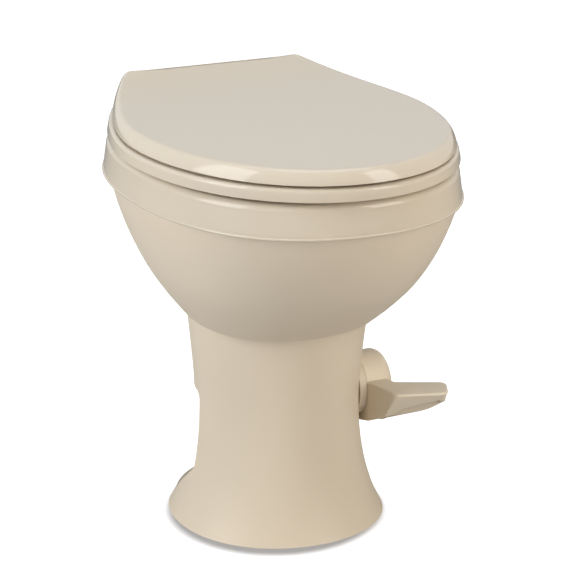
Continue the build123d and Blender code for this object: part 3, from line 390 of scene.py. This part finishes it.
def plastic(name, colour, second, roughness, grain=0.12, flow=9.0, shine=0.5, metal=0.0):
    """A moulded finish, with its shine set on the shader's own sockets."""
    material = bpy.data.materials.new(name)
    material.use_nodes = True
    tree = material.node_tree
    shader = tree.nodes["Principled BSDF"]
    skin = tree.nodes.new("ShaderNodeGroup")
    skin.node_tree = moulded_surface
    skin.inputs["Colour"].default_value = linear(*colour)
    skin.inputs["Second colour"].default_value = linear(*second)
    skin.inputs["Flow size"].default_value = flow
    skin.inputs["Roughness"].default_value = roughness
    skin.inputs["Grain depth"].default_value = grain
    for output, socket in (("Colour", "Base Color"), ("Roughness", "Roughness"), ("Normal", "Normal")):
        tree.links.new(skin.outputs[output], shader.inputs[socket])
    shader.inputs["Specular IOR Level"].default_value = shine
    shader.inputs["Metallic"].default_value = metal
    return material


# Painted light and shade: one plastic, but the glossy colour is set darker and the pedal's lighter to suit
# how light falls on those parts.
bone_gloss = plastic("bone_gloss", (206, 194, 175), (204, 192, 172), 0.06, shine=0.4)
bone_satin = plastic("bone_satin", (212, 199, 178), (210, 196, 175), 0.45, shine=0.3)
bone_pedal = plastic("bone_pedal", (226, 214, 193), (223, 210, 188), 0.5, shine=0.3)
dark_plastic = plastic("dark_plastic", (70, 70, 72), (62, 62, 64), 0.5)
pale_plastic = plastic("pale_plastic", (226, 223, 214), (219, 216, 207), 0.4)
ball_plastic = plastic("ball_plastic", (214, 203, 182), (209, 197, 176), 0.25)
seal_rubber = plastic("seal_rubber", (38, 38, 39), (30, 30, 31), 0.7, grain=0.3)
bumper_rubber = plastic("bumper_rubber", (206, 193, 170), (199, 186, 163), 0.6)
hose_rubber = plastic("hose_rubber", (42, 42, 44), (34, 34, 36), 0.5)
bare_steel = plastic("bare_steel", (188, 188, 185), (172, 172, 170), 0.32, metal=1.0)
bare_brass = plastic("bare_brass", (205, 170, 100), (190, 154, 86), 0.3, metal=1.0)
print("finishes:", len(bpy.data.materials))

# %% [markdown]
# ## The measured nodes' own finishes
# Nodes that stay as they are take their finish by the slot that the record
# names, so hardware, seals and hoses are dressed in one pass.

# %% Dress the measured nodes
finishes = {
    "bone_gloss": bone_gloss, "bone_satin": bone_satin, "bone_pedal": bone_pedal,
    "inner_plastic": dark_plastic, "ball_plastic": ball_plastic, "bush_plastic": pale_plastic,
    "soft_rubber": seal_rubber, "bumper_rubber": bumper_rubber, "steel": bare_steel,
    "brass": bare_brass, "hose": hose_rubber,
}
for part in frame["record"]["subparts"]:
    node = frame["nodes"][part["node"]]
    node.data.materials.clear()
    node.data.materials.append(finishes[part["material_slot"]])
print("dressed", len(frame["nodes"]), "nodes")

# %% [markdown]
# ## Pedestal
# The pedestal is a waisted column that leans back a little towards its foot.
# It is open behind, where the floor nuts and the water line are reached. The
# rings give the outer and inner skins, and a cutter on each side opens the
# doorway, whose sill slopes down to the back. The floor of the shell is closed,
# so it hides the waste outlet and the bolt holes that the measured node has.

# %% Pedestal shell
seam_z, floor_top, pedestal_wall = 241.0, 17.0, 4.5
pedestal_levels = (0.0, 0.05, 0.12, 0.25, 0.42, 0.62, 0.81, 1.0)
pedestal_sizes = (1.206, 1.145, 1.078, 0.993, 0.934, 0.9175, 0.952, 1.0)


def pedestal_ring(height, thick=0.0):
    """Plan of the column at this height, fuller near the foot."""
    share = height / seam_z
    size = between(pedestal_levels, pedestal_sizes, share)
    middle = 9.5 + (2.0 - 9.5) * share
    reach = size * 105.4 - thick
    foot = max(0.0, 1 - height / 110) ** 1.5
    fulls = (0.5523 + 0.03 * foot, 0.5523)
    return oval(size * 100.6 - thick, reach - middle, reach + middle, middle, fulls), height


outer = [pedestal_ring(seam_z * step / 48) for step in range(49)]
inner = [pedestal_ring(floor_top + (seam_z - floor_top) * step / 40, pedestal_wall)
         for step in range(40, -1, -1)]
pedestal_shell = stack("pedestal_shell", outer + inner)


def doorway_cutter(name, edge, way):
    """Side view of one doorway, pulled out sideways."""
    toe_y, sill, knee, top, far, front_edge = 62.0, 17.3, 60.5, 150.0, 150.0, 9.5
    knee += (sill - knee) * (edge - front_edge) / (toe_y - front_edge)
    view = rounded_corner((toe_y, sill), (edge, knee), (edge, top), 5.0)
    view += rounded_corner((edge, knee), (edge, top), (far, top), 9.0)
    view += [(far, top), (far, sill), (toe_y, sill)]
    bm = bmesh.new()
    wire = bmesh.ops.create_circle(bm, segments=len(view), radius=1, cap_ends=True)["verts"]
    for vert, (y, z) in zip(wire, view):
        vert.co = Vector((0, y, z)) * mm
    pulled = bmesh.ops.extrude_face_region(bm, geom=bm.faces[:])["geom"]
    moved = [v for v in pulled if isinstance(v, bmesh.types.BMVert)]
    bmesh.ops.translate(bm, vec=(way * far * mm, 0, 0), verts=moved)
    return finished(name, bm)


carved(pedestal_shell, doorway_cutter("left_doorway", 9.5, -1), doorway_cutter("right_doorway", 42.0, 1))
dressed(pedestal_shell, "stand", bone_satin, "pedestal")
print("pedestal faces after its doorways:", len(pedestal_shell.data.polygons))

# %% [markdown]
# The pedal's hub faces a round boss on the column, which hides the spring's
# end. It is a short spun drum whose inner end is lost in the wall.

# %% Hub boss
def spun(name, profile, centre_z, steps=96):
    """Spin a profile of (x, radius) pairs about the shaft's line at the given height."""
    bm = bmesh.new()
    verts = [bm.verts.new(Vector((x, 0, radius)) * mm) for x, radius in profile]
    edges = [bm.edges.new(pair) for pair in zip(verts, verts[1:])]
    bmesh.ops.spin(bm, geom=verts + edges, cent=(0, 0, 0), axis=(1, 0, 0), angle=2 * pi,
                   steps=steps, use_merge=True)
    bmesh.ops.translate(bm, vec=(0, 0, centre_z * mm), verts=bm.verts)
    bmesh.ops.remove_doubles(bm, verts=bm.verts, dist=1e-6)
    return finished(name, bm)


shaft_z = 137.0
boss_in, boss_out, boss_bore, boss_r = 86.0, 94.7, 8.0, 35.9
boss_profile = [(boss_in, boss_bore), (boss_in, boss_r), (boss_out, boss_r), (boss_out, boss_bore),
                (boss_in, boss_bore)]
hub_boss = spun("hub_boss", boss_profile, shaft_z)
dressed(hub_boss, "stand", bone_satin)

# %% [markdown]
# ## Bowl
# The bowl is one deep shell from the flange under its outlet up to the lip
# inside the rim. The stack goes up the outside, over the lip, down the inside
# to the outlet and back to its start, so it closes on itself.

# %% Bowl shell
band_z, lip_z, bowl_wall = 391.0, 424.0, 8.0
bowl_levels = (0.0, 0.166, 0.364, 0.589, 0.801, 1.0)
bowl_sides = (0.0, 0.266, 0.532, 0.747, 0.895, 1.0)
bowl_backs = (0.0, 0.234, 0.43, 0.71, 0.91, 1.0)


def bowl_ring(share, thick=0.0):
    """Plan of the bowl, by its share of the way from the seam up to the band."""
    side_share = between(bowl_levels, bowl_sides, share)
    back_share = between(bowl_levels, bowl_backs, share)
    return (oval(103.0 + 73.9 * side_share - thick, 112.5 + 124.3 * side_share - thick,
                 107.0 + 104.7 * back_share - thick), seam_z + (band_z - seam_z) * share)


def round_ring(radius, height):
    """A plain circle about the outlet."""
    return oval(radius, radius, radius, 0.0, (0.5523, 0.5523)), height


def bowl_lip(thick, height):
    """Plan of the lip inside the rim."""
    return oval(170.4 - thick, 230.3 - thick, 205.2 - thick), height


skin = [round_ring(71.0, 176.4), round_ring(71.0, 182.3), round_ring(64.0, 182.3),
        round_ring(64.0, 208.0), round_ring(93.5, 240.9)]
skin += [bowl_ring(step / 36) for step in range(37)]
skin += [bowl_lip(0.0, lip_z), bowl_lip(bowl_wall, lip_z)]
skin += [bowl_ring(step / 36, bowl_wall) for step in range(36, 3, -1)]
skin += [round_ring(radius, height) for radius, height in
         ((92.0, 237.0), (80.0, 229.0), (67.0, 222.0), (56.0, 214.0), (46.0, 207.0), (34.0, 200.0),
          (30.0, 200.0), (30.0, 190.1), (57.9, 190.1), (57.9, 176.4))]
bowl_shell = stack("bowl_shell", skin, closed=True)
dressed(bowl_shell, "stand", bone_satin, "bowl")

# %% [markdown]
# ## Rim band
# The band hangs over the bowl's lip like a lampshade: its outside leans in
# towards the top. Its top edge is softly rounded and its lower edge carries a
# small bead. Inside, a skirt lines the hole.

# %% Rim band
rim_top, bead, band_in = 428.0, 1.6, 0.9
edge_r, skirt_low, skirt_wall = 9.0, 404.0, 4.0
edge_start = rim_top - edge_r
count = len(deck_edge)


def leaned(height):
    """How far the band's side has come in at this height."""
    return 5.2 * (height - band_z) / (rim_top - band_z)


def hole_edge(grow, height):
    """The hole's outline, with as many points as the deck's."""
    return resampled(oval(128.0 + grow, 188.0 + grow, 138.0 + grow), count), height


rings = [(inset(deck_edge, 4.0), band_z), (inset(deck_edge, bead), band_z)]
rings += [(inset(deck_edge, bead * (1 - s)), band_z + bead * (1 - c)) for s, c in quarter_turn(4)[1:]]
rings += [(inset(deck_edge, 1.4 * (1 - c)), band_z + 1.8 + 1.4 * s) for s, c in quarter_turn(4)]
rings += [(inset(deck_edge, leaned(height) + band_in), height) for height in (395.2, 402.0, 410.0, 418.0)]
rings += [(inset(deck_edge, leaned(edge_start) + band_in + edge_r * (1 - c)), edge_start + edge_r * s)
          for s, c in quarter_turn(12)]
rings += [hole_edge(2.5, rim_top), hole_edge(0.7, rim_top - 0.7), hole_edge(0.0, rim_top - 2.5),
          hole_edge(0.0, skirt_low), hole_edge(skirt_wall, skirt_low), hole_edge(skirt_wall, lip_z),
          (inset(deck_edge, 9.2), lip_z)]
rim_band = stack("rim_band", rings, closed=True)
dressed(rim_band, "stand", bone_gloss, "rim_deck")

# %% [markdown]
# ## Seat
# The seat ring has leaning sides and round edges. Two ears at its back take
# the hinge pins.

# %% Seat ring and its ears
seat_low, seat_top, seat_round = 431.5, 445.5, 5.0
count = len(seat_edge)


def seat_hole(grow, height):
    """The seat's opening, with as many points as its edge."""
    return resampled(oval(106.0 + grow, 168.0 + grow, 112.0 + grow), count), height


rings = [seat_hole(1.5, seat_low), (inset(seat_edge, 1.2), seat_low),
         (inset(seat_edge, 0.3), seat_low + 0.6), (inset(seat_edge, 0.2), seat_low + 1.5)]
rings += [(inset(seat_edge, 1.7 + seat_round * (1 - c)), seat_top - seat_round * (1 - s))
          for s, c in quarter_turn(8)]
rings += [seat_hole(seat_round * (1 - c), seat_top - seat_round * (1 - s))
          for s, c in reversed(quarter_turn(6))]
rings += [seat_hole(0.0, seat_low + 1.5)]
dressed(stack("seat_shell", rings, closed=True), "seat", bone_gloss, "seat_ring")


def ear(name, start, low, thick, root, hinge_y=222.0, hinge_z=449.0):
    """Flat arm with a round knuckle, both with softened edges."""
    knuckle_r, width = 8.5, 12
    middle = start + width / 2
    bm = bmesh.new()
    disc = bmesh.ops.create_cone(bm, cap_ends=True, segments=40, radius1=knuckle_r * mm,
                                 radius2=knuckle_r * mm, depth=width * mm)["verts"]
    bmesh.ops.rotate(bm, matrix=Matrix.Rotation(pi / 2, 3, "Y"), verts=disc)
    bmesh.ops.translate(bm, vec=Vector((middle, hinge_y, hinge_z)) * mm, verts=disc)
    arm = bmesh.ops.create_cube(bm, size=1)["verts"]
    bmesh.ops.scale(bm, vec=Vector((width, hinge_y - root, thick)) * mm, verts=arm)
    bmesh.ops.translate(bm, vec=Vector((middle, (hinge_y + root) / 2, low + thick / 2)) * mm, verts=arm)
    edges = [e for e in bm.edges if e.calc_face_angle(0) > 1.0]
    bmesh.ops.bevel(bm, geom=edges, offset=0.7 * mm, segments=3, profile=0.5, affect="EDGES",
                    material=-1)
    return finished(name, bm)


for name, start in (("seat_ear_left", -61.25), ("seat_ear_right", 49.25)):
    dressed(ear(name, start, 436.5, 9.0, 184.1), "seat", bone_gloss)

# %% [markdown]
# ## Lid
# The lid's top is level over the front half and then sweeps up in a curve to
# the hinge edge. Its height depends only on how far back a point lies, so one
# curve is drawn, and every ring reads its height from it. The side slants in
# on a wide arc and turns over a tight crest, all the way round. The underside
# is meant to be hollow, but see the known fault of the stack.

# %% Lid shell and its ears
lid_low, ceiling = 448.5, 9.0
sweep_ys, sweep_zs = (-254.6, 49.0, 68.0, 130.1, 192.2), (16.0, 16.0, 16.0, 16.0, 37.0)
sweep = []
for step in range(201):
    t = step / 200
    weights = [(1 - t) ** 4, 4 * t * (1 - t) ** 3, 6 * t**2 * (1 - t) ** 2, 4 * t**3 * (1 - t), t**4]
    sweep.append((sum(w * y for w, y in zip(weights, sweep_ys)),
                  sum(w * z for w, z in zip(weights, sweep_zs))))


def lid_rise(y):
    """Height of the lid's top above its lower edge, read off the curve."""
    for (y0, z0), (y1, z1) in zip(sweep, sweep[1:]):
        if y <= y1:
            return z0 + (z1 - z0) * (y - y0) / (y1 - y0)
    return sweep[-1][1]


def lid_top(drop):
    """A rule that gives a ring its height, this far below the lid's top."""
    return lambda y: lid_low + lid_rise(y) - drop


hollow = resampled(hinged_outline(*lid_place, smaller=32.0), len(lid_edge))
inward, up = 0.25, 0.3
rings = [(hollow, lid_top(ceiling)), (hollow, lid_low), (inset(lid_edge, 1.0), lid_low),
         (inset(lid_edge, inward), lid_low + up)]
drop = lid_rise(-200.0) - up
for start, end, steps, bend in ((11, 38, 12, 29.5), (38, 90, 14, 6.1)):
    for step in range(steps):
        one, two = (radians(start + (end - start) * (step + more) / steps) for more in (0, 1))
        inward += bend * (cos(one) - cos(two))
        drop = max(drop - bend * (sin(two) - sin(one)), 0.0)
        rings.append((inset(lid_edge, inward), lid_top(drop)))
print("lid crest:", round(inward, 1), "mm in from the edge,", round(drop, 2), "mm below the top")
dressed(stack("lid_shell", rings), "lid", bone_gloss, "lid")
for name, start in (("lid_ear_left", -90.45), ("lid_ear_right", 78.45)):
    dressed(ear(name, start, lid_low, 9.0, 174.0), "lid", bone_gloss)
print("lid height in front and behind:", round(lid_rise(-200), 1), round(lid_rise(192), 1), "mm")

# %% [markdown]
# ## Pedal
# The pedal hangs on the shaft at the toilet's right side. Its round hub caps
# the spring and meets the boss on the column almost without a gap.

# %% Pedal hub
hub_profile = [(121.0, 0.0), (121.0, 31.5), (95.0, 31.5), (95.0, 36.0), (118.0, 36.0)]
hub_profile += [(118.0 + 12 * s, 24.0 + 12 * c) for s, c in quarter_turn(10)[1:]]
hub_profile += [(130.0, 6.4), (129.7, 6.1), (126.5, 6.1), (126.5, 0.0)]
pedal_hub = spun("pedal_hub", hub_profile, shaft_z)
dressed(pedal_hub, "pedal", bone_pedal, "pedal")

# %% [markdown]
# The arm and its toe pad are one more stack. The upper outline reaches
# further forward than the lower one, so the front slants back under the pad.
# The lower edge drops to a heel and rises again towards the toe, and the
# underside is hollow.

# %% Pedal arm and toe pad
pad_top = 149.0
arm_reach = (-104.0, -92.0, -83.0, -70.0, -61.0, -36.0, -20.0, 0.0, 20.0)
arm_lows = (144.0, 138.0, 131.5, 124.0, 114.5, 102.0, 95.0, 101.0, 109.0)


def arm_low(y):
    """Height of the arm's lower edge, by how far forward a point lies."""
    return between(arm_reach, arm_lows, min(max(y, -103.9), 19.9))


def arm_outline(toe_left, toe_right, steps=8):
    """Plan of arm and pad, with its round corners and many points on the straight runs."""
    corners = [((95.2, 0.0), 0.0), ((95.2, -36.0), 4.0), (toe_left, 7.0), (toe_right, 9.0),
               ((177.7, -70.2), 9.0), ((123.0, -45.5), 12.0), ((118.0, -12.0), 3.0), ((118.0, 0.0), 0.0)]
    points = []
    for i, (corner, radius) in enumerate(corners):
        before, after = corners[i - 1][0], corners[(i + 1) % len(corners)][0]
        points += rounded_corner(before, corner, after, radius, 6) if radius else [corner]
        last, goal = Vector(points[-1]), Vector(after)
        points += [tuple(last.lerp(goal, 0.45 * step / steps)) for step in range(1, steps)]
    return points


upper, lower = arm_outline((107.7, -86.0), (162.9, -103.0)), arm_outline((104.0, -63.0), (160.0, -97.0))
rings = [(inset(lower, 5.0), pad_top - 3.5), (inset(lower, 5.0), lambda y: min(arm_low(y), pad_top - 4.0)),
         (inset(lower, 1.0), arm_low), (lower, lambda y: arm_low(y) + 1.0)]
rings += [(inset(upper, 2.5 * (1 - c)), pad_top - 2.5 * (1 - s)) for s, c in quarter_turn(6)]
dressed(stack("pedal_arm", rings, flat=True), "pedal", bone_pedal)

# %% [markdown]
# ## Floor
# The floor is a large plain sheet. To the camera it glows white, but the
# glow fades out on an oval patch about the foot. That grey patch is painted
# shadow, and the shadow that the lamps cast there darkens it further. All
# other light finds it darker, which keeps its bounce from filling the bowl's
# underside.

# %% Floor
bm = bmesh.new()
bmesh.ops.create_grid(bm, x_segments=1, y_segments=1, size=6)
floor = finished("studio_floor", bm)
white = bpy.data.materials.new("studio_white")
white.use_nodes = True
tree = white.node_tree
shader = tree.nodes["Principled BSDF"]
shader.inputs["Roughness"].default_value = 1.0
shader.inputs["Specular IOR Level"].default_value = 0.0
shader.inputs["Emission Color"].default_value = (1, 1, 1, 1)
path = tree.nodes.new("ShaderNodeLightPath")
place = tree.nodes.new("ShaderNodeTexCoord")
# Painted shadow: an oval patch about the foot, turned to the camera, where the floor's white glow fades
# out.
painted_shadow_patch = tree.nodes.new("ShaderNodeMapping")
painted_shadow_patch.vector_type = "TEXTURE"
painted_shadow_patch.inputs["Location"].default_value = (-0.0058, -0.0033, 0)
painted_shadow_patch.inputs["Rotation"].default_value = (0, 0, radians(-24.3))
painted_shadow_patch.inputs["Scale"].default_value = (0.131, 0.141, 1)
from_foot = tree.nodes.new("ShaderNodeVectorMath")
from_foot.operation = "LENGTH"
painted_shadow_fade = tree.nodes.new("ShaderNodeMapRange")
painted_shadow_fade.interpolation_type = "SMOOTHSTEP"
painted_shadow_fade.inputs["From Min"].default_value = 0.86
painted_shadow_fade.inputs["From Max"].default_value = 1.02
tree.links.new(place.outputs["Object"], painted_shadow_patch.inputs["Vector"])
tree.links.new(painted_shadow_patch.outputs["Vector"], from_foot.inputs[0])
tree.links.new(from_foot.outputs["Value"], painted_shadow_fade.inputs["Value"])
glow = tree.nodes.new("ShaderNodeMath")
glow.operation = "MULTIPLY"
tree.links.new(painted_shadow_fade.outputs["Result"], glow.inputs[1])
paper = tree.nodes.new("ShaderNodeMix")
paper.data_type = "RGBA"
paper.inputs["A"].default_value = (0.5, 0.5, 0.5, 1)
paper.inputs["B"].default_value = (0.45, 0.45, 0.46, 1)
tree.links.new(path.outputs["Is Camera Ray"], paper.inputs["Factor"])
tree.links.new(paper.outputs["Result"], shader.inputs["Base Color"])
tree.links.new(path.outputs["Is Camera Ray"], glow.inputs[0])
tree.links.new(glow.outputs["Value"], shader.inputs["Emission Strength"])
floor.data.materials.append(white)

# %% [markdown]
# ## Studio walls
# The camera looks into pure white. Reflections see pale walls, which brighten
# the lid's top and every grazing edge. All other light finds a dim room, so
# that the softboxes alone shape it.

# %% World
world = bpy.data.worlds.new("studio")
bpy.context.scene.world = world
world.use_nodes = True
tree = world.node_tree
sky = tree.nodes["Background"]
seen = tree.nodes.new("ShaderNodeBackground")
seen.inputs["Strength"].default_value = 1.0
seen.inputs["Color"].default_value = (1, 1, 1, 1)
sky.inputs["Color"].default_value = (1, 1, 1, 1)
sky.inputs["Strength"].default_value = 0.15
path = tree.nodes.new("ShaderNodeLightPath")
either = tree.nodes.new("ShaderNodeMixShader")
tree.links.new(path.outputs["Is Camera Ray"], either.inputs["Fac"])
tree.links.new(sky.outputs["Background"], either.inputs[1])
tree.links.new(seen.outputs["Background"], either.inputs[2])
walls = tree.nodes.new("ShaderNodeBackground")
walls.inputs["Color"].default_value = (0.97, 0.98, 1.0, 1)
walls.inputs["Strength"].default_value = 0.8
shiny = tree.nodes.new("ShaderNodeMixShader")
tree.links.new(path.outputs["Is Glossy Ray"], shiny.inputs["Fac"])
tree.links.new(either.outputs["Shader"], shiny.inputs[1])
tree.links.new(walls.outputs["Background"], shiny.inputs[2])
tree.links.new(shiny.outputs["Shader"], tree.nodes["World Output"].inputs["Surface"])
for background in (seen, walls, sky):
    print("background strength:", round(background.inputs["Strength"].default_value, 2))

# %% [markdown]
# ## Softboxes
# Two tall softboxes stand on the floor, one at the left and one at the front
# right, and leave the bowl's front between them darker. No reflection shows
# them. Two more panels beside them light nothing and show only as streaks on
# the glossy edges, and a soft panel hangs overhead. Each is given by its
# bearing from the front, and by how bright its face is. From behind and low
# down the right streak is mirrored in the lid's top and clips to white there.

# %% Softboxes
def softbox(name, bearing, low, high, distance, width, brightness, colour, lights=True, shines=True):
    """An upright panel that faces the object. Its power follows from its size and brightness."""
    lamp = bpy.data.objects.new(name, bpy.data.lights.new(name, "AREA"))
    lamp.data.shape = "RECTANGLE"
    lamp.data.size, lamp.data.size_y = width, high - low
    lamp.data.energy = brightness * pi * width * (high - low)
    lamp.data.color = colour
    lamp.visible_diffuse, lamp.visible_glossy = lights, shines
    angle = radians(bearing)
    lamp.location = (sin(angle) * distance, -cos(angle) * distance, (low + high) / 2)
    lamp.rotation_euler = (pi / 2, 0, angle)
    bpy.context.scene.collection.objects.link(lamp)
    print(name, round(lamp.data.energy, 1), "W")
    return lamp


softbox("left_softbox", -86, 0.0, 2.6, 2.2, 0.8, 8.5, (0.965, 0.98, 1.0), shines=False)
softbox("right_softbox", 28, 0.0, 2.6, 2.2, 1.0, 5.3, (1.0, 0.94, 0.86), shines=False)
softbox("left_streak", -88, 0.62, 2.7, 2.2, 1.3, 4.2, (1.0, 1.0, 1.0), lights=False)
softbox("right_streak", 33, 0.62, 2.7, 2.2, 0.85, 4.2, (1.0, 0.98, 0.95), lights=False)
top_panel = softbox("top_panel", 0, 0.0, 1.8, 0.0, 1.8, 2.3, (0.84, 0.9, 1.0))
top_panel.location, top_panel.rotation_euler = (0, -0.17, 2.4), (0, 0, 0)

# %% [markdown]
# ## Colours as they are written
# The standard view keeps each colour at about the value it was given.

# %% Finish
bpy.context.scene.view_settings.view_transform = "Standard"
bpy.context.view_layer.update()
